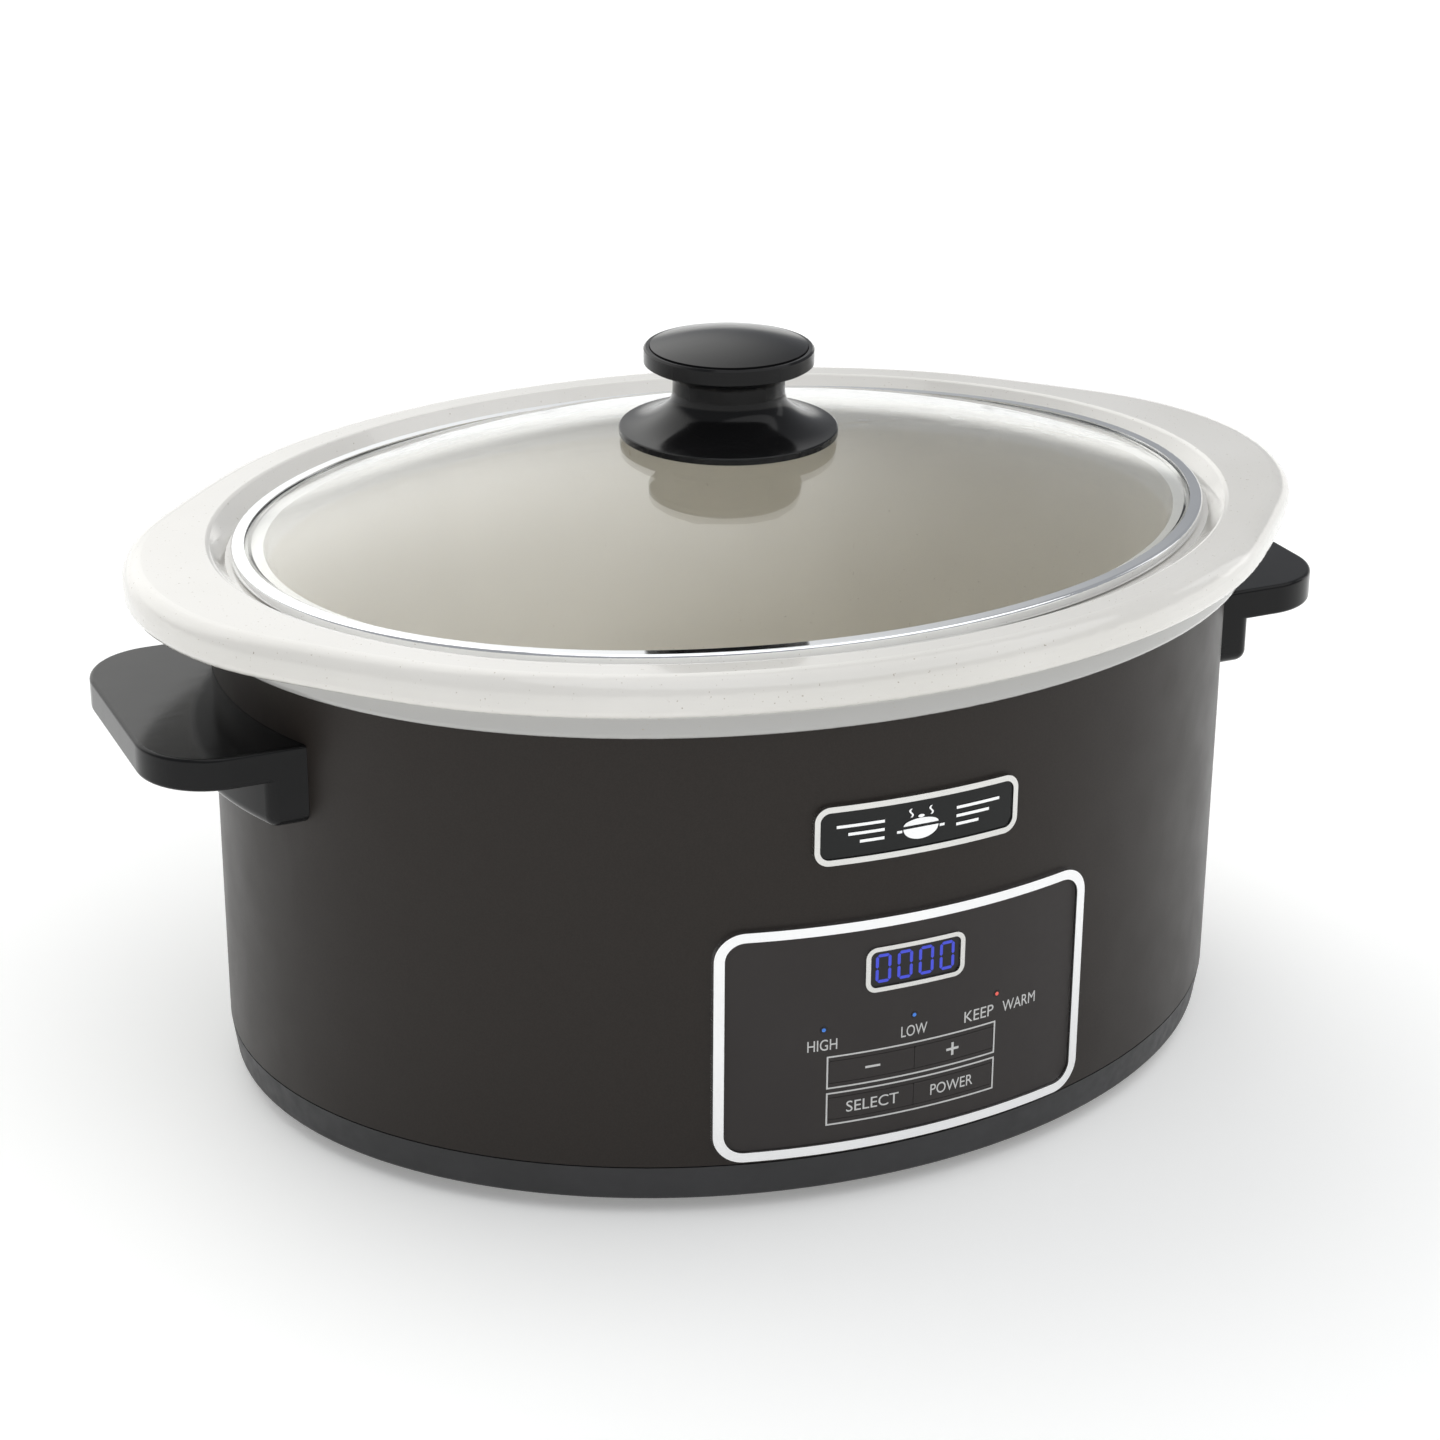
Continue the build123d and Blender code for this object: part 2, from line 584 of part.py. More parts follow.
def handle(side):
    """Carry handle: a flat grip plate and a leg that hugs the wall, open below for the fingers."""
    low_x, depth = 140.0, HANDLE_X - 140.0
    outline = Pos(low_x + depth / 2, 0) * RectangleRounded(depth, 2 * HANDLE_HALF_Y, HANDLE_CORNER_R)
    outline += Pos(low_x + 15, 0) * Rectangle(30, 2 * HANDLE_HALF_Y)
    plate = extrude(Plane.XY.offset(HANDLE_TOP_Z - HANDLE_PLATE_T) * outline, amount=HANDLE_PLATE_T)
    plate = fillet(top_edges(plate) + bottom_edges(plate), 1.2)
    leg = wall_band(0.05, HANDLE_LEG_T, HANDLE_LEG_Z, HANDLE_TOP_Z - 2)
    leg &= Pos(170, 0, 122) * Box(80, 2 * HANDLE_HALF_Y, 60)
    away = [e for e in leg.edges() if e.center().X > 163 and e.center().Z < HANDLE_TOP_Z - 3]
    sides = [e for e in bottom_edges(leg) if abs(e.center().Y) > HANDLE_HALF_Y - 0.1]
    leg = fillet(away + sides, 4.0)
    solid = plate - oval_prism(WALL_RX + 0.05, WALL_RY + 0.05, 100, 150) + leg
    for y in (-28.0, 28.0):
        solid -= handle_screw_frame(1, y) * Cylinder(1.95, 16)
    return solid if side > 0 else mirror(solid, about=Plane.YZ)


def handle_screws():
    parts = []
    for side, y in HANDLE_SCREWS:
        frame = handle_screw_frame(side, y)
        shank = Pos(0, 0, 2.4) * Cylinder(1.9, 9.8)
        head = Pos(0, 0, -WALL_T - FIT - 1.2) * Cylinder(3.6, 2.2)
        parts.append(frame * (shank + head))
    return parts


def cord_gland():
    """Bushing in the rear of the wall where the mains lead enters."""
    body = y_rod(0, GLAND_Z, GLAND_BODY_R, WALL_RY + 1, GLAND_INNER_Y)
    flange = y_rod(0, GLAND_Z, 9.0, WALL_RY + GLAND_FLANGE_T, WALL_RY)
    flange = fillet(flange.edges().group_by(Axis.Y)[-1], 1.4)
    return body + flange - y_rod(0, GLAND_Z, GLAND_BORE_R, 145, 110)


def gland_nut():
    ring = y_rod(0, GLAND_Z, 9.2, WALL_RY - WALL_T - 0.5, WALL_RY - 6)
    return ring - y_rod(0, GLAND_Z, GLAND_BODY_R + 0.05, 140, 110)


# ---- assembly ----
NODES = {
    "housing_wall": housing_wall(),
    "base_tray": base_tray(),
    "wall_brackets": wall_brackets(),
    "base_screws": base_screws(),
    "heating_liner": heating_liner(),
    "heater_band": heater_band(),
    "band_clamp_screw": band_clamp_screw(),
    "band_clamp_nut": band_clamp_nut(),
    "liner_stud": liner_stud(),
    "stud_nut": stud_nut(),
    "base_heat_shield": base_heat_shield(),
    "front_heat_shield": front_heat_shield(),
    "thermal_fuse": thermal_fuse(),
    "fuse_clip": fuse_clip(),
    "temperature_sensor": temperature_sensor(),
    "sensor_bracket": sensor_bracket(),
    "panel_bezel": panel_bezel(),
    "panel_overlay": panel_overlay(),
    "display_frame": display_frame(),
    "display_window": display_window(),
    "display_module": display_module(),
    "tact_switches": tact_switches(),
    "control_carrier": control_carrier(),
    "control_board": control_board(),
    "board_screws": board_screws(),
    "microcontroller": microcontroller(),
    "nameplate_frame": nameplate_frame(),
    "nameplate_plate": nameplate_plate(),
    "power_board": power_board(),
    "power_board_screws": power_board_screws(),
    "relay": board_block(41, -12, (19, 15, 10.2), 0.5),
    "filter_capacitor": board_block(42, 12, (18, 8, 9.4), 1.0),
    "transformer": board_block(69, -13, (22, 20, 10.0), 0.8),
    "terminal_block": terminal_block(),
    "control_ribbon": control_ribbon(),
    "heater_leads": heater_leads(),
    "handle_left": handle(-1),
    "handle_right": handle(1),
    "handle_screws": handle_screws(),
    "cord_gland": cord_gland(),
    "gland_nut": gland_nut(),
    "stoneware_crock": stoneware_crock(),
    "lid_glass": lid_glass(),
    "lid_rim": lid_rim(),
    "knob_body": knob_body(),
    "knob_cap": knob_cap(),
    "knob_screw": knob_screw(),
    "knob_gasket": tube(0, 0, 4.2, 8.8, GLASS_TOP_Z + 0.05, 197.55),
    "knob_washer": tube(0, 0, 2.6, 8.0, 192.5, GLASS_TOP_Z - GLASS_T - 0.15),
}
NODES |= {name: foot(x, y) for name, (x, y) in FEET.items()}
NODES |= {name: light_pipe(x) for name, x in LED_X.items()}
NODES |= {name: key_cap(x, row) for name, (x, row) in KEYS.items()}

os.makedirs("parts", exist_ok=True)
for name, shape in NODES.items():
    export_step(Compound(shape) if isinstance(shape, list) else shape, f"parts/{name}.step")
print(len(NODES), "nodes")
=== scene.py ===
"""Looks of an oval slow cooker: materials, printed panel, nameplate emblem, studio and camera."""

import json
import math

import bpy
from mathutils import Matrix, Vector


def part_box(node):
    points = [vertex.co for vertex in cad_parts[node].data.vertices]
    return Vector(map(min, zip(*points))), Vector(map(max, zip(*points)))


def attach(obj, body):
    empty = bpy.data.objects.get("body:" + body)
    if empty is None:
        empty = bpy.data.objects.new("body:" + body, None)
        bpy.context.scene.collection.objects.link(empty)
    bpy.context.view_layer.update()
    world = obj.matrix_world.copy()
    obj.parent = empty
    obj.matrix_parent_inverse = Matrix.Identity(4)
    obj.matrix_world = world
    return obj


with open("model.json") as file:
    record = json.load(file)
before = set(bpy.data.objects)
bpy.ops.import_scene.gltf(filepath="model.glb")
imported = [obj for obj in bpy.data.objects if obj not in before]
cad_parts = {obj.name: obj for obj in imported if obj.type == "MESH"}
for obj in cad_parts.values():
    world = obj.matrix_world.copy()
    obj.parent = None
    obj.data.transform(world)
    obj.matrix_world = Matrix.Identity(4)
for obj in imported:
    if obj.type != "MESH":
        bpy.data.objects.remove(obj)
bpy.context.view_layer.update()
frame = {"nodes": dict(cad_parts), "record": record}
nodes = frame["nodes"]

MM = 0.001
scene = bpy.context.scene
scene.view_settings.view_transform = "Standard"
scene.view_settings.look = "None"

# ---- measures taken from the frame ----
wall_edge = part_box("housing_wall")[1]
WALL_RX, WALL_RY = wall_edge.x, wall_edge.y
OVERLAY_PROUD = -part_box("panel_overlay")[0].y - WALL_RY
WINDOW_PROUD = -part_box("display_window")[0].y - WALL_RY
PLATE_PROUD = -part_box("nameplate_plate")[0].y - WALL_RY
COLLAR_OVAL = (171.8 * MM, 137.7 * MM)  # half-axes of the crock's collar
RIM_UNDER_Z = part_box("lid_rim")[0].z - 6 * MM  # the ivory of the crock's rim ends here; below it the glaze is painted darker as shade

# ---- sizes of the print, which has no CAD node ----
INK_T = 0.05 * MM
INK_LINE = 0.5 * MM
CAP_H = 3.6 * MM  # height of the panel's capitals
WORDS_DROP = 3.3 * MM  # from the lamps down to the middle of their words
OUTLINE_MARGIN = 0.75 * MM
CURVE_STEP = 4 * MM  # longest flat patch on the curved front
DIGIT_W, DIGIT_H, DIGIT_PITCH, SEGMENT_W = 4.9 * MM, 9.2 * MM, 6.9 * MM, 0.95 * MM
SEGMENT_GAP = 0.25 * MM
LAMP_DOT_R = 0.6 * MM
EMBLEM_T = 0.3 * MM

# ---- studio and lens ----
SKY_GREY, SKY_HORIZON, SKY_GLOW = (0.36, 0.37, 0.39), (1.2, 1.2, 1.18), (1.85, 1.85, 1.82)
PAGE_WHITE = (1.0, 1.0, 0.985, 1.0)
FLOOR_HALF = 12.0
GLOW_AIM = Vector((-0.20, 0.75, 0.63))  # direction of the sky's bright patch
LENS_PLACE = (-0.40388, -0.88983, 0.51549)
LENS_AZIMUTH, LENS_ELEVATION, LENS_ROLL = math.radians(-24.412), math.radians(22.436), 0.0074
LENS_LENGTH, LENS_SHIFT = 82.63, (-0.0045, -0.0241)


def front_y(x, proud):
    """Depth of the oval front at x, a distance proud of the steel wall."""
    return -(WALL_RY + proud) * math.sqrt(1 - (x / (WALL_RX + proud)) ** 2)


# ---- shader building blocks ----
def mixed(tree, share, first, second):
    """A colour between two colours, each a tuple or a socket."""
    node = tree.nodes.new("ShaderNodeMix")
    node.data_type = "RGBA"
    tree.links.new(share, node.inputs["Factor"])
    for end, colour in ((node.inputs[6], first), (node.inputs[7], second)):
        if isinstance(colour, tuple):
            end.default_value = (*colour, 1.0)
        else:
            tree.links.new(colour, end)
    return node.outputs[2]


class Shader:
    """A node material with one Principled surface and a few short-hands for its inputs."""

    def __init__(self, name, **sockets):
        self.material = bpy.data.materials.new(name)
        self.material.use_nodes = True
        self.tree = self.material.node_tree
        self.surface = self.tree.nodes["Principled BSDF"]
        self.place = self.tree.nodes.new("ShaderNodeTexCoord").outputs["Object"]
        for label, value in sockets.items():
            self.surface.inputs[label.replace("_", " ")].default_value = value

    def add(self, kind, **settings):
        node = self.tree.nodes.new(kind)
        for name, value in settings.items():
            setattr(node, name, value)
        return node

    def link(self, source, target):
        self.tree.links.new(source, target)

    def stretched(self, scale):
        """Object coordinates stretched along the axes."""
        node = self.add("ShaderNodeMapping")
        node.inputs["Scale"].default_value = scale
        self.link(self.place, node.inputs["Vector"])
        return node.outputs["Vector"]

    def noise(self, scale, detail=3.0, place=None):
        node = self.add("ShaderNodeTexNoise")
        node.inputs["Scale"].default_value = scale
        node.inputs["Detail"].default_value = detail
        self.link(place or self.place, node.inputs["Vector"])
        return node.outputs["Fac"]

    def cells(self, scale):
        node = self.add("ShaderNodeTexVoronoi")
        node.inputs["Scale"].default_value = scale
        self.link(self.place, node.inputs["Vector"])
        return node.outputs["Color"]

    def spread(self, value, low, high, to_low=0.0, to_high=1.0):
        """Maps the stretch from low to high of a value onto to_low to to_high."""
        node = self.add("ShaderNodeMapRange")
        for label, number in zip(("From Min", "From Max", "To Min", "To Max"), (low, high, to_low, to_high)):
            node.inputs[label].default_value = number
        self.link(value, node.inputs["Value"])
        return node.outputs["Result"]

    def height(self):
        node = self.add("ShaderNodeSeparateXYZ")
        self.link(self.place, node.inputs["Vector"])
        return node.outputs["Z"]

    def distance(self, half_axes):
        """Distance from the upright middle axis, 1 on the oval with these half-axes."""
        node = self.add("ShaderNodeVectorMath", operation="LENGTH")
        self.link(self.stretched((1 / half_axes[0], 1 / half_axes[1], 0.0)), node.inputs[0])
        return node.outputs["Value"]

    def blend(self, share, first, second):
        return mixed(self.tree, share, first, second)

    def colour(self, socket):
        self.link(socket, self.surface.inputs["Base Color"])

    def roughness(self, socket):
        self.link(socket, self.surface.inputs["Roughness"])

    def relief(self, height, depth, strength=1.0):
        """Bump of that depth in metres, on top of any relief the surface already has."""
        node = self.add("ShaderNodeBump")
        node.inputs["Distance"].default_value = depth
        node.inputs["Strength"].default_value = strength
        self.link(height, node.inputs["Height"])
        normal = self.surface.inputs["Normal"]
        if normal.is_linked:
            self.link(normal.links[0].from_socket, node.inputs["Normal"])
        self.link(node.outputs["Normal"], normal)

    def let_lamps_through(self):
        """Glass that casts no shadow from lamps, so that what it covers is lit."""
        output = self.tree.nodes["Material Output"]
        clear = self.add("ShaderNodeBsdfTransparent")
        pick = self.add("ShaderNodeMixShader")
        self.link(self.add("ShaderNodeLightPath").outputs["Is Shadow Ray"], pick.inputs["Fac"])
        self.link(self.surface.outputs["BSDF"], pick.inputs[1])
        self.link(clear.outputs["BSDF"], pick.inputs[2])
        self.link(pick.outputs["Shader"], output.inputs["Surface"])


# ---- materials ----
def housing_paint():
    """Satin charcoal lacquer with fine metal flake and a trace of orange peel."""
    s = Shader("charcoal_lacquer", Metallic=0.1, Specular_IOR_Level=0.28)
    flake = s.spread(s.cells(2600.0), 0.2, 0.8)
    s.colour(s.blend(flake, (0.0175, 0.0134, 0.0108), (0.0212, 0.0164, 0.0134)))
    s.roughness(s.spread(s.noise(60.0), 0.3, 0.7, 0.36, 0.42))
    s.relief(s.noise(700.0, 1.0), 0.00001, 0.5)
    return s.material


def base_plastic():
    """Moulded black plastic with a fine spark-eroded grain."""
    s = Shader("grained_black", Specular_IOR_Level=0.3)
    s.colour(s.blend(s.spread(s.noise(35.0), 0.35, 0.65), (0.030, 0.030, 0.031), (0.038, 0.038, 0.040)))
    s.roughness(s.spread(s.noise(220.0), 0.3, 0.7, 0.42, 0.55))
    s.relief(s.noise(2200.0, 2.0), 0.00002, 0.6)
    return s.material


def gloss_plastic():
    """Polished phenolic black of the knob and handles, with faint wipe marks."""
    s = Shader("polished_black", Specular_IOR_Level=0.2)
    mottle = s.spread(s.noise(18.0), 0.35, 0.65)
    s.colour(s.blend(mottle, (0.0055, 0.0055, 0.0058), (0.0085, 0.0085, 0.0090)))
    wipe = s.noise(90.0, 4.0, s.stretched((1.0, 5.0, 1.0)))
    s.roughness(s.spread(wipe, 0.3, 0.75, 0.10, 0.19))
    s.relief(s.noise(260.0, 1.0), 0.000012, 0.35)
    return s.material


def stoneware():
    """Glossy ivory glaze with tiny specks; below the rim it is painted darker as shade, grey-beige inside
    and greyer still on the collar in the rim's shadow.
    """
    s = Shader("ivory_glaze", Specular_IOR_Level=0.5, Coat_Weight=0.6, Coat_Roughness=0.03)
    ivory = s.blend(s.spread(s.noise(14.0), 0.3, 0.7), (0.765, 0.745, 0.700), (0.820, 0.800, 0.760))
    # painted shade: the inside of the crock is coloured a darker grey-beige than the ivory rim
    inside_painted_shade = s.blend(s.spread(s.noise(16.0), 0.3, 0.7), (0.680, 0.640, 0.555), (0.735, 0.695, 0.610))
    # painted shade: the collar band under the rim's overhang is coloured greyer
    below_rim_painted_shade = s.blend(s.spread(s.distance(COLLAR_OVAL), 0.86, 0.90), inside_painted_shade, (0.47, 0.465, 0.45))
    body = s.blend(s.spread(s.height(), RIM_UNDER_Z - 2 * MM, RIM_UNDER_Z), below_rim_painted_shade, ivory)
    speck = s.spread(s.noise(1300.0, 1.0), 0.74, 0.78)
    s.colour(s.blend(speck, body, (0.45, 0.40, 0.33)))
    s.roughness(s.spread(s.noise(120.0), 0.3, 0.7, 0.09, 0.15))
    s.relief(s.noise(45.0, 2.0), 0.0001, 0.25)
    s.relief(s.noise(600.0, 1.0), 0.000008, 0.3)
    return s.material


def clear_glass():
    """Tempered lid glass, faintly green, with the slight waviness of a pressed dome."""
    s = Shader("lid_clear", Transmission_Weight=1.0, IOR=1.5, Specular_IOR_Level=0.5)
    s.colour(s.blend(s.spread(s.noise(9.0), 0.3, 0.7), (0.955, 0.965, 0.955), (0.975, 0.985, 0.975)))
    s.roughness(s.spread(s.noise(25.0), 0.4, 0.9, 0.0, 0.02))
    s.relief(s.noise(22.0, 0.0), 0.0002, 0.15)
    s.let_lamps_through()
    return s.material


def polished_metal(name, tone, rough, streak=0.0):
    """Bright trim: stainless or chrome, with hairline polishing marks along its length."""
    s = Shader(name, Metallic=1.0)
    light = tuple(channel * 1.04 for channel in tone)
    s.colour(s.blend(s.spread(s.noise(40.0), 0.3, 0.7), tone, light))
    hair = s.noise(300.0, 5.0, s.stretched((0.2, 0.2, 12.0)))
    s.roughness(s.spread(hair, 0.3, 0.7, rough * 0.8, rough * 1.25))
    if streak:
        s.relief(hair, streak)
    return s.material


def film(name, low, high, rough):
    """Hard-coated polyester film or satin key top with a very fine texture."""
    s = Shader(name, Specular_IOR_Level=0.28)
    s.colour(s.blend(s.spread(s.noise(30.0), 0.3, 0.7), low, high))
    s.roughness(s.spread(s.noise(400.0), 0.3, 0.7, rough - 0.04, rough + 0.04))
    s.relief(s.noise(3000.0, 1.0), 0.000006, 0.5)
    return s.material


def moulded(name, tone, rough, grain=1500.0):
    """Plain moulded plastic or rubber with a fine grain and slight mottling."""
    s = Shader(name, Specular_IOR_Level=0.4)
    shade = tuple(channel * 0.85 for channel in tone)
    s.colour(s.blend(s.spread(s.noise(45.0), 0.3, 0.7), shade, tone))
    s.roughness(s.spread(s.noise(150.0), 0.3, 0.7, rough - 0.06, rough + 0.06))
    s.relief(s.noise(grain, 2.0), 0.00003, 0.5)
    return s.material


def rolled_steel():
    """Aluminised sheet: spangled and slightly stained by heat."""
    s = Shader("aluminised_sheet", Metallic=1.0)
    spangle = s.blend(s.spread(s.cells(260.0), 0.2, 0.8), (0.50, 0.51, 0.52), (0.64, 0.65, 0.66))
    s.colour(s.blend(s.spread(s.noise(12.0), 0.55, 0.8), spangle, (0.50, 0.44, 0.36)))
    s.roughness(s.spread(s.noise(180.0, 4.0, s.stretched((1.0, 1.0, 14.0))), 0.3, 0.7, 0.28, 0.42))
    s.relief(s.noise(500.0), 0.00001, 0.4)
    return s.material


def board():
    """Solder mask with a faint weave of the glass cloth under it."""
    s = Shader("solder_mask", Specular_IOR_Level=0.5, Coat_Weight=0.3, Coat_Roughness=0.15)
    s.colour(s.blend(s.spread(s.noise(120.0), 0.35, 0.65), (0.008, 0.075, 0.030), (0.014, 0.110, 0.045)))
    s.roughness(s.spread(s.noise(300.0), 0.3, 0.7, 0.28, 0.38))
    s.relief(s.noise(900.0), 0.00002, 0.5)
    return s.material


def glow(name, tone, strength):
    """A lit lamp or display segment, slightly uneven."""
    s = Shader(name, Roughness=0.4, Emission_Strength=strength)
    bright = tuple(channel * 1.15 for channel in tone)
    core = s.blend(s.spread(s.noise(900.0), 0.3, 0.7), tone, bright)
    s.link(core, s.surface.inputs["Emission Color"])
    s.colour(core)
    return s.material


def ink(name, tone):
    """Screen-printed ink: matt, with a slightly uneven density."""
    s = Shader(name, Specular_IOR_Level=0.3)
    thin = tuple(channel * 0.93 for channel in tone)
    s.colour(s.blend(s.spread(s.noise(900.0), 0.3, 0.7), thin, tone))
    s.roughness(s.spread(s.noise(1200.0), 0.3, 0.7, 0.5, 0.6))
    return s.material


OVERLAY_TONES = ((0.0270, 0.0230, 0.0218), (0.0310, 0.0268, 0.0255))
ENAMEL_TONES = ((0.0045, 0.0052, 0.0052), (0.0070, 0.0078, 0.0078))
SMOKE_TONES = ((0.0165, 0.0150, 0.0160), (0.0190, 0.0175, 0.0190))
FINISHES = {
    "housing_paint": housing_paint(),
    "base_black": base_plastic(),
    "gloss_black": gloss_plastic(),
    "stoneware_glaze": stoneware(),
    "lid_glass": clear_glass(),
    "lid_rim_steel": polished_metal("rim_steel", (0.86, 0.87, 0.88), 0.05),
    "bright_trim": polished_metal("bright_trim", (0.90, 0.905, 0.91), 0.22, 0.000008),
    "overlay_black": film("panel_film", *OVERLAY_TONES, 0.42),
    "key_black": film("key_film", *OVERLAY_TONES, 0.40),
    "nameplate_black": film("nameplate_enamel", *ENAMEL_TONES, 0.16),
    "display_smoke": film("display_smoke", *SMOKE_TONES, 0.16),
    "light_blue": film("lamp_lens_blue", (0.020, 0.022, 0.030), (0.024, 0.027, 0.038), 0.3),
    "light_red": film("lamp_lens_red", (0.028, 0.021, 0.020), (0.034, 0.025, 0.024), 0.3),
    "aluminised_steel": rolled_steel(),
    "heater_mica": moulded("mica_cloth", (0.42, 0.33, 0.19), 0.7, 900.0),
    "fastener_steel": polished_metal("zinc_plate", (0.62, 0.62, 0.60), 0.3, 0.00001),
    "black_rubber": moulded("black_rubber", (0.018, 0.018, 0.019), 0.7),
    "board_green": board(),
    "component_black": moulded("component_black", (0.016, 0.016, 0.017), 0.45),
    "component_white": moulded("nylon_white", (0.72, 0.70, 0.65), 0.4),
    "component_yellow": moulded("polyester_tape", (0.70, 0.46, 0.05), 0.35),
    "relay_blue": moulded("relay_blue", (0.015, 0.07, 0.24), 0.3),
    "lead_sleeve": moulded("braided_sleeve", (0.55, 0.51, 0.43), 0.8, 2600.0),
    "ribbon_grey": moulded("ribbon_grey", (0.32, 0.32, 0.34), 0.5),
}
SATIN_TRIM = polished_metal("satin_trim", (0.70, 0.695, 0.675), 0.24, 0.000008)
SATIN_NODES = ("nameplate_frame", "display_frame")
WHITE_INK = ink("white_ink", (0.62, 0.62, 0.61))
BLUE_GLOW = glow("segment_blue", (0.035, 0.050, 0.50), 0.40)
BLUE_LAMP = glow("lamp_blue", (0.035, 0.16, 0.55), 0.35)
RED_LAMP = glow("lamp_red", (0.60, 0.08, 0.06), 0.4)


def dress_nodes():
    """Gives every carried-over node the finish of its record slot; two small frames have a satin one."""
    for part in frame["record"]["subparts"]:
        mesh = nodes[part["node"]].data
        finish = SATIN_TRIM if part["node"] in SATIN_NODES else FINISHES[part["material_slot"]]
        if not mesh.materials:
            mesh.materials.append(None)
        for index in range(len(mesh.materials)):
            mesh.materials[index] = finish


# ---- flat graphics wrapped on the oval front ----
def add_piece(name, mesh, material, body):
    """Puts a mesh in the scene with its one material, riding its body."""
    obj = bpy.data.objects.new(name, mesh)
    scene.collection.objects.link(obj)
    mesh.materials.clear()
    mesh.materials.append(material)
    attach(obj, body)


def wrapped(name, patches, proud, material, body="housing", thickness=INK_T):
    """Thin raised patches on the front; each is a closed outline of (x, z) points, in order."""
    points, faces = [], []
    for patch in patches:
        count, first = len(patch), len(points)
        for lift in (0.0, thickness):
            points += [(x, front_y(x, proud + lift), z) for x, z in patch]
        back, front = range(first, first + count), range(first + count, first + 2 * count)
        faces += [tuple(front), tuple(reversed(back))]
        for i in range(count):
            j = (i + 1) % count
            faces.append((back[i], back[j], front[j], front[i]))
    mesh = bpy.data.meshes.new(name)
    mesh.from_pydata(points, [], faces)
    mesh.validate()
    add_piece(name, mesh, material, body)


def bar(x0, x1, z0, z1):
    """A level bar as short patches, so that it follows the curve."""
    count = max(1, math.ceil((x1 - x0) / CURVE_STEP))
    edges = [x0 + (x1 - x0) * i / count for i in range(count + 1)]
    return [[(a, z0), (b, z0), (b, z1), (a, z1)] for a, b in zip(edges, edges[1:])]


def box_outline(x0, x1, z0, z1):
    line = INK_LINE
    foot, head = z0 + line, z1 - line
    sides = [[(x, foot), (x + line, foot), (x + line, head), (x, head)] for x in (x0, x1 - line)]
    return bar(x0, x1, z0, foot) + bar(x0, x1, head, z1) + sides


def lettering(name, words, x0, x1, z_mid, proud, body="housing"):
    """Printed capitals that fill x0 to x1, wrapped on the front."""
    curve = bpy.data.curves.new(name, "FONT")
    curve.body = words
    curve.extrude = 0.5
    curve.resolution_u = 4
    source = bpy.data.objects.new(name, curve)
    scene.collection.objects.link(source)
    bpy.context.view_layer.update()
    shaped = source.evaluated_get(bpy.context.evaluated_depsgraph_get())
    mesh = bpy.data.meshes.new_from_object(shaped)
    bpy.data.objects.remove(source)
    xs, ys = [v.co.x for v in mesh.vertices], [v.co.y for v in mesh.vertices]
    wide, tall = max(xs) - min(xs), max(ys) - min(ys)
    for v in mesh.vertices:
        x = x0 + (v.co.x - min(xs)) / wide * (x1 - x0)
        z = z_mid + ((v.co.y - min(ys)) / tall - 0.5) * CAP_H
        lift = INK_T if v.co.z > 0 else 0.0
        v.co = (x, front_y(x, proud + lift), z)
    add_piece(name, mesh, WHITE_INK, body)


def segment(cx, cz, length, width, upright):
    """One display segment: a bar with pointed ends."""
    half, side = length / 2, width / 2
    flank = half - side
    along = [(-half, 0), (-flank, -side), (flank, -side), (half, 0), (flank, side), (-flank, side)]
    return [(cx - b, cz + a) if upright else (cx + a, cz + b) for a, b in along]


def zero_digit(cx, cz):
    """The six lit segments of a nought: one across the top, one across the foot, two down each side."""
    line = SEGMENT_W
    across = DIGIT_W - line - SEGMENT_GAP
    down = (DIGIT_H - line) / 2 - SEGMENT_GAP
    patches = []
    for side_z in (-1, 1):
        patches.append(segment(cx, cz + side_z * (DIGIT_H - line) / 2, across, line, False))
        for side_x in (-1, 1):
            x = cx + side_x * (DIGIT_W - line) / 2
            patches.append(segment(x, cz + side_z * (DIGIT_H - line) / 4, down, line, True))
    return patches


def display_digits():
    """Four lit noughts on the smoked window."""
    patches = []
    for index in range(4):
        patches += zero_digit((index - 1.5) * DIGIT_PITCH, middle_z("display_window"))
    wrapped("display_digits", patches, WINDOW_PROUD, BLUE_GLOW)


def lamp_dot(name, node, material):
    """The small lit spot at the middle of a lamp lens."""
    low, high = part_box(node)
    ring = disc_patch((low.x + high.x) / 2, middle_z(node), LAMP_DOT_R, LAMP_DOT_R, count=16)
    wrapped(name, [ring], face_proud(node), material)


def panel_print():
    """Words and key outlines on the control panel."""
    words_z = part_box("led_low")[0].z - WORDS_DROP
    words = (("HIGH", -33.2, -24.2), ("LOW", -4.1, 4.4), ("KEEP", 17.1, 27.4), ("WARM", 30.7, 42.9))
    for word, x0, x1 in words:
        lettering(f"print_{word.lower()}", word, x0 * MM, x1 * MM, words_z, OVERLAY_PROUD)
    margin = OUTLINE_MARGIN
    for name, left, right in (("upper", "key_minus", "key_plus"), ("lower", "key_select", "key_power")):
        low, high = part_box(left)[0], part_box(right)[1]
        outline = box_outline(low.x - margin, high.x + margin, low.z - margin, high.z + margin)
        wrapped(f"print_{name}_outline", outline, OVERLAY_PROUD, WHITE_INK)


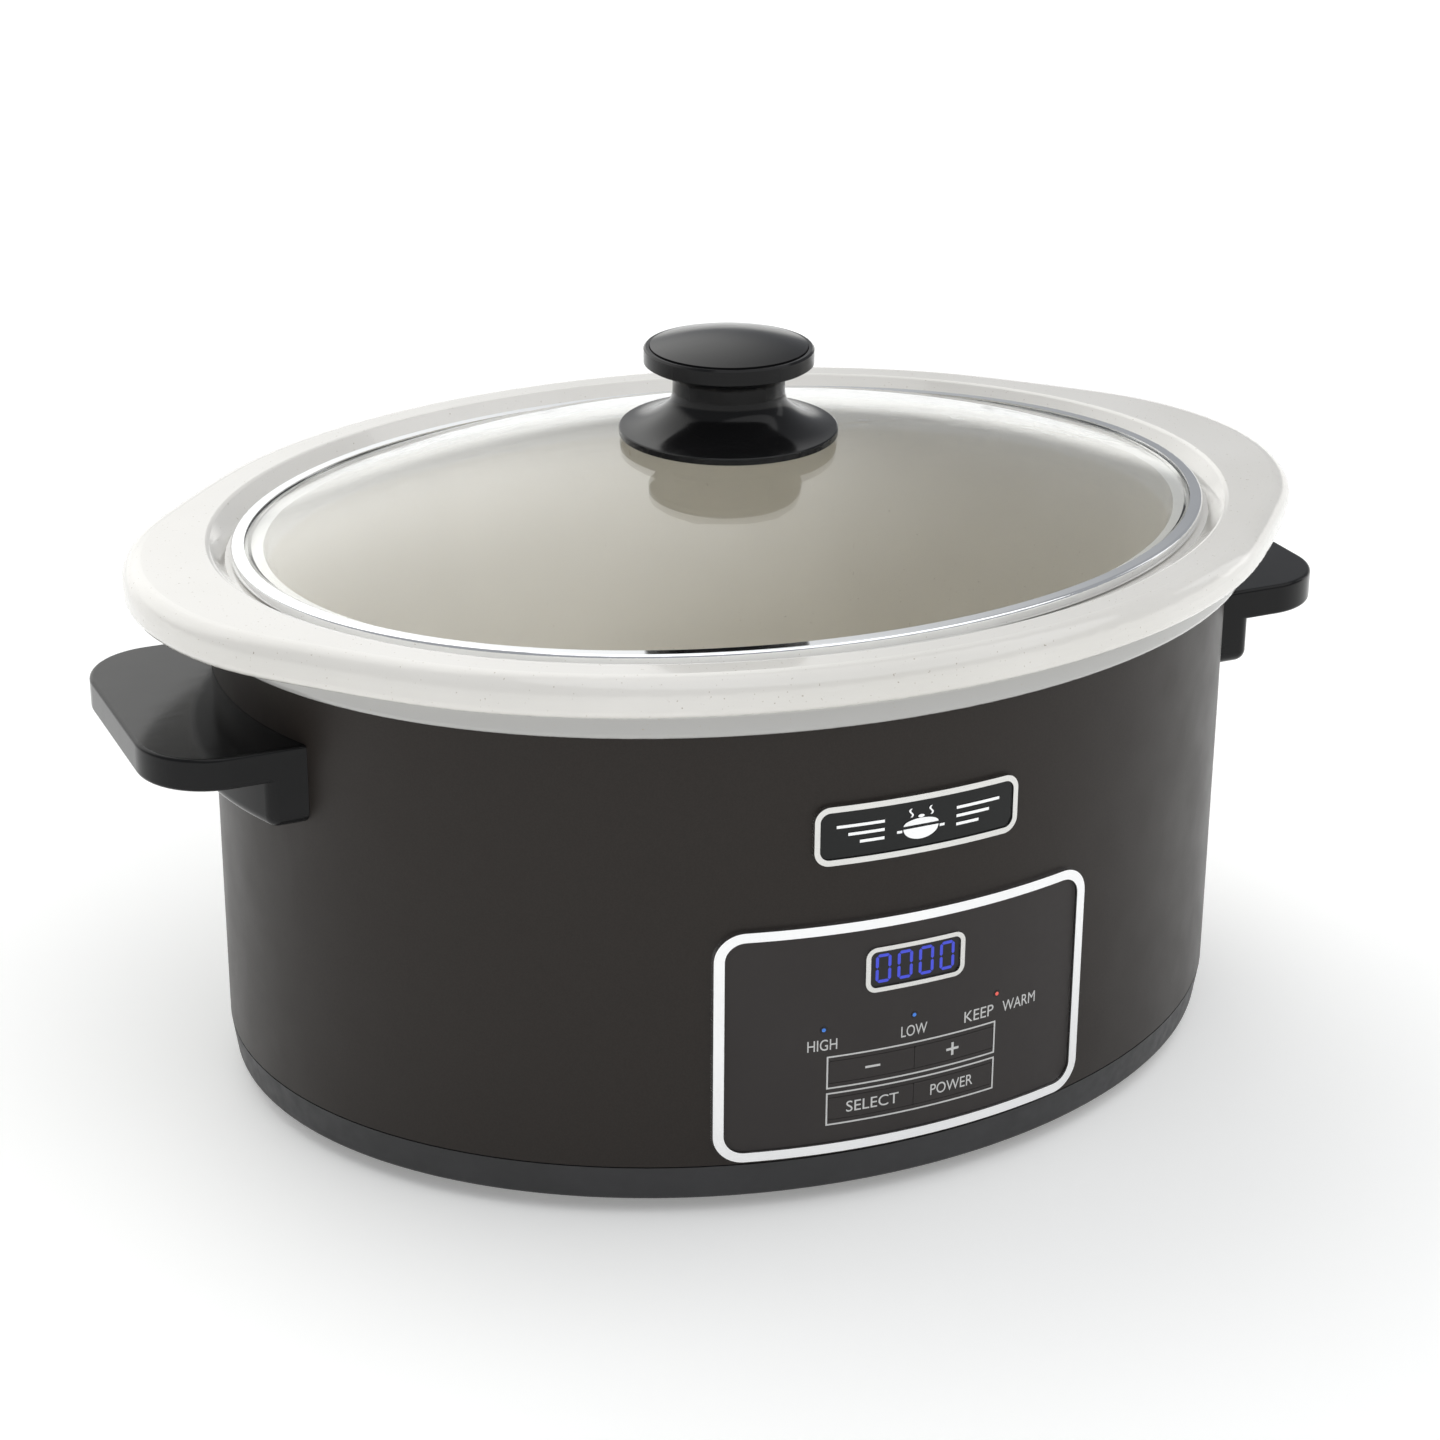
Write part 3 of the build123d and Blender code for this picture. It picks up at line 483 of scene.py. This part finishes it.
def key_signs():
    """The marks on the four keys, which travel with them."""
    proud = face_proud("key_minus")
    z = middle_z("key_minus")
    minus = bar(-15.3 * MM, -10.6 * MM, z - 0.35 * MM, z + 0.35 * MM)
    wrapped("sign_minus", minus, proud, WHITE_INK, "key_minus")
    arm, side, cx = 2.1 * MM, 0.4 * MM, 13.3 * MM
    plus = [[(cx - arm, z - side), (cx - side, z - side), (cx - side, z - arm), (cx + side, z - arm),
             (cx + side, z - side), (cx + arm, z - side), (cx + arm, z + side), (cx + side, z + side),
             (cx + side, z + arm), (cx - side, z + arm), (cx - side, z + side), (cx - arm, z + side)]]
    wrapped("sign_plus", plus, proud, WHITE_INK, "key_plus")
    z = middle_z("key_select")
    lettering("sign_select", "SELECT", -21.0 * MM, -4.4 * MM, z, proud, body="key_select")
    lettering("sign_power", "POWER", 6.2 * MM, 20.8 * MM, z, proud, body="key_power")


def middle_z(node):
    low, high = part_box(node)
    return (low.z + high.z) / 2


def face_proud(node):
    """How far a key's or lens's face stands proud of the steel wall, from its foremost point."""
    mesh = nodes[node].data
    face = min(mesh.vertices, key=lambda v: v.co.y)
    return -face.co.y / math.sqrt(1 - (face.co.x / WALL_RX) ** 2) - WALL_RY


# ---- nameplate emblem ----
def disc_patch(cx, cz, rx, rz, start=0.0, end=360.0, count=24):
    steps = [math.radians(start + (end - start) * i / count) for i in range(count + 1)]
    points = [(cx + rx * math.cos(t), cz + rz * math.sin(t)) for t in steps]
    return points[:-1] if end - start >= 360 else points


def wisp(cx, z0, z1, sway, line):
    """A wavy upright stroke, as steam is drawn."""
    count = 14
    heights = [z0 + (z1 - z0) * i / count for i in range(count + 1)]
    waves = [cx + sway * math.sin((z - z0) / (z1 - z0) * math.tau) for z in heights]
    patches = []
    for i in range(count):
        a, b = waves[i], waves[i + 1]
        patches.append([(a - line / 2, heights[i]), (a + line / 2, heights[i]),
                        (b + line / 2, heights[i + 1]), (b - line / 2, heights[i + 1])])
    return patches


def nameplate_emblem():
    """A generic lidded pot with steam, between two sets of three bars."""
    mid = middle_z("nameplate_plate")
    z = mid - 1.2 * MM
    pot = [disc_patch(0.0, z, 5.6 * MM, 3.6 * MM, 180.0, 360.0)]
    pot += [disc_patch(0.0, z + 0.9 * MM, 5.6 * MM, 2.0 * MM, 0.0, 180.0)]
    for x0, x1 in ((-7.6, -6.0), (6.0, 7.6)):
        pot += bar(x0 * MM, x1 * MM, z - 0.9 * MM, z - 0.1 * MM)
    pot += [disc_patch(0.0, z + 3.5 * MM, 1.0 * MM, 0.5 * MM)]
    for cx in (-3.2 * MM, 3.2 * MM):
        pot += wisp(cx, z + 3.5 * MM, z + 6.2 * MM, 0.45 * MM, 0.6 * MM)
    for side in (-1, 1):
        for row, far in enumerate((26.0, 22.5, 19.0)):
            level = mid + (1 - row) * 2.6 * MM
            ends = sorted((side * 11.5 * MM, side * far * MM))
            pot += bar(*ends, level - 0.45 * MM, level + 0.45 * MM)
    trim = FINISHES["bright_trim"]
    wrapped("nameplate_emblem", pot, PLATE_PROUD, trim, thickness=EMBLEM_T)


# ---- studio ----
def floor():
    r = FLOOR_HALF
    mesh = bpy.data.meshes.new("floor")
    mesh.from_pydata([(-r, -r, 0), (r, -r, 0), (r, r, 0), (-r, r, 0)], [], [(0, 1, 2, 3)])
    obj = bpy.data.objects.new("floor", mesh)
    scene.collection.objects.link(obj)
    s = Shader("pale_floor", Specular_IOR_Level=0.1, Roughness=0.8)
    s.colour(s.blend(s.noise(1.5), (0.90, 0.90, 0.89), (0.92, 0.92, 0.91)))
    s.surface.inputs["Emission Color"].default_value = PAGE_WHITE
    s.surface.inputs["Emission Strength"].default_value = 0.24
    mesh.materials.append(s.material)


def softbox(name, place, target, size, power):
    light = bpy.data.lights.new(name, "AREA")
    light.shape = "RECTANGLE"
    light.size, light.size_y = size
    light.energy = power
    obj = bpy.data.objects.new(name, light)
    obj.location = place
    obj.rotation_euler = (Vector(target) - Vector(place)).to_track_quat("-Z", "Y").to_euler()
    scene.collection.objects.link(obj)


def broad_light(name, direction, strength, spread):
    """An even, very soft light from far away; it falls the same on the floor near and far."""
    light = bpy.data.lights.new(name, "SUN")
    light.energy = strength
    light.angle = math.radians(spread)
    obj = bpy.data.objects.new(name, light)
    obj.rotation_euler = (-Vector(direction)).to_track_quat("-Z", "Y").to_euler()
    scene.collection.objects.link(obj)


def ramp(tree, value, low, high):
    """Eases a value from 0 at low to 1 at high."""
    node = tree.nodes.new("ShaderNodeMapRange")
    node.interpolation_type = "SMOOTHSTEP"
    node.inputs["From Min"].default_value, node.inputs["From Max"].default_value = low, high
    tree.links.new(value, node.inputs["Value"])
    return node.outputs["Result"]


def sky_colour(tree):
    """Grey above a pale horizon, with a large soft bright patch high at the back left."""
    aim = tree.nodes.new("ShaderNodeTexCoord").outputs["Generated"]
    axes = tree.nodes.new("ShaderNodeSeparateXYZ")
    tree.links.new(aim, axes.inputs["Vector"])
    near = tree.nodes.new("ShaderNodeVectorMath")
    near.operation = "DOT_PRODUCT"
    near.inputs[1].default_value = GLOW_AIM.normalized()
    tree.links.new(aim, near.inputs[0])
    grey = mixed(tree, ramp(tree, axes.outputs["Z"], 0.06, 0.18), SKY_HORIZON, SKY_GREY)
    return mixed(tree, ramp(tree, near.outputs["Value"], 0.68, 0.96), grey, SKY_GLOW)


def studio():
    """White sky to the lens; for lighting, a graded sky, a broad top light and a strip at the right."""
    world = bpy.data.worlds.new("studio")
    scene.world = world
    world.use_nodes = True
    tree = world.node_tree
    seen = tree.nodes["Background"]
    seen.inputs["Color"].default_value = PAGE_WHITE
    lit = tree.nodes.new("ShaderNodeBackground")
    tree.links.new(sky_colour(tree), lit.inputs["Color"])
    pick = tree.nodes.new("ShaderNodeMixShader")
    path = tree.nodes.new("ShaderNodeLightPath")
    tree.links.new(path.outputs["Is Camera Ray"], pick.inputs["Fac"])
    tree.links.new(lit.outputs["Background"], pick.inputs[1])
    tree.links.new(seen.outputs["Background"], pick.inputs[2])
    tree.links.new(pick.outputs["Shader"], tree.nodes["World Output"].inputs["Surface"])
    broad_light("top_light", (0.30, -0.35, 1.0), 1.05, 70.0)
    softbox("right_strip", (1.5, 0.1, 0.55), (0, 0, 0.15), (0.35, 1.0), 0.8)


def camera():
    """A long lens, above the front left and a little rolled."""
    level = math.cos(LENS_ELEVATION)
    right = Vector((math.cos(LENS_AZIMUTH), math.sin(LENS_AZIMUTH), 0.0))
    back = Vector((right.y * level, -right.x * level, math.sin(LENS_ELEVATION)))
    up = back.cross(right)
    side = right * math.cos(LENS_ROLL) + up * math.sin(LENS_ROLL)
    top = up * math.cos(LENS_ROLL) - right * math.sin(LENS_ROLL)
    data = bpy.data.cameras.new("lens")
    data.sensor_width = 36.0
    data.lens = LENS_LENGTH
    data.shift_x, data.shift_y = LENS_SHIFT
    data.clip_start, data.clip_end = 0.05, 60.0
    obj = bpy.data.objects.new("lens", data)
    turn = Matrix((side, top, back)).transposed().to_4x4()
    obj.matrix_world = Matrix.Translation(LENS_PLACE) @ turn
    scene.collection.objects.link(obj)
    scene.camera = obj


camera()
floor()
studio()
dress_nodes()
display_digits()
lamp_dot("lamp_high", "led_high", BLUE_LAMP)
lamp_dot("lamp_low", "led_low", BLUE_LAMP)
lamp_dot("lamp_warm", "led_warm", RED_LAMP)
panel_print()
key_signs()
nameplate_emblem()
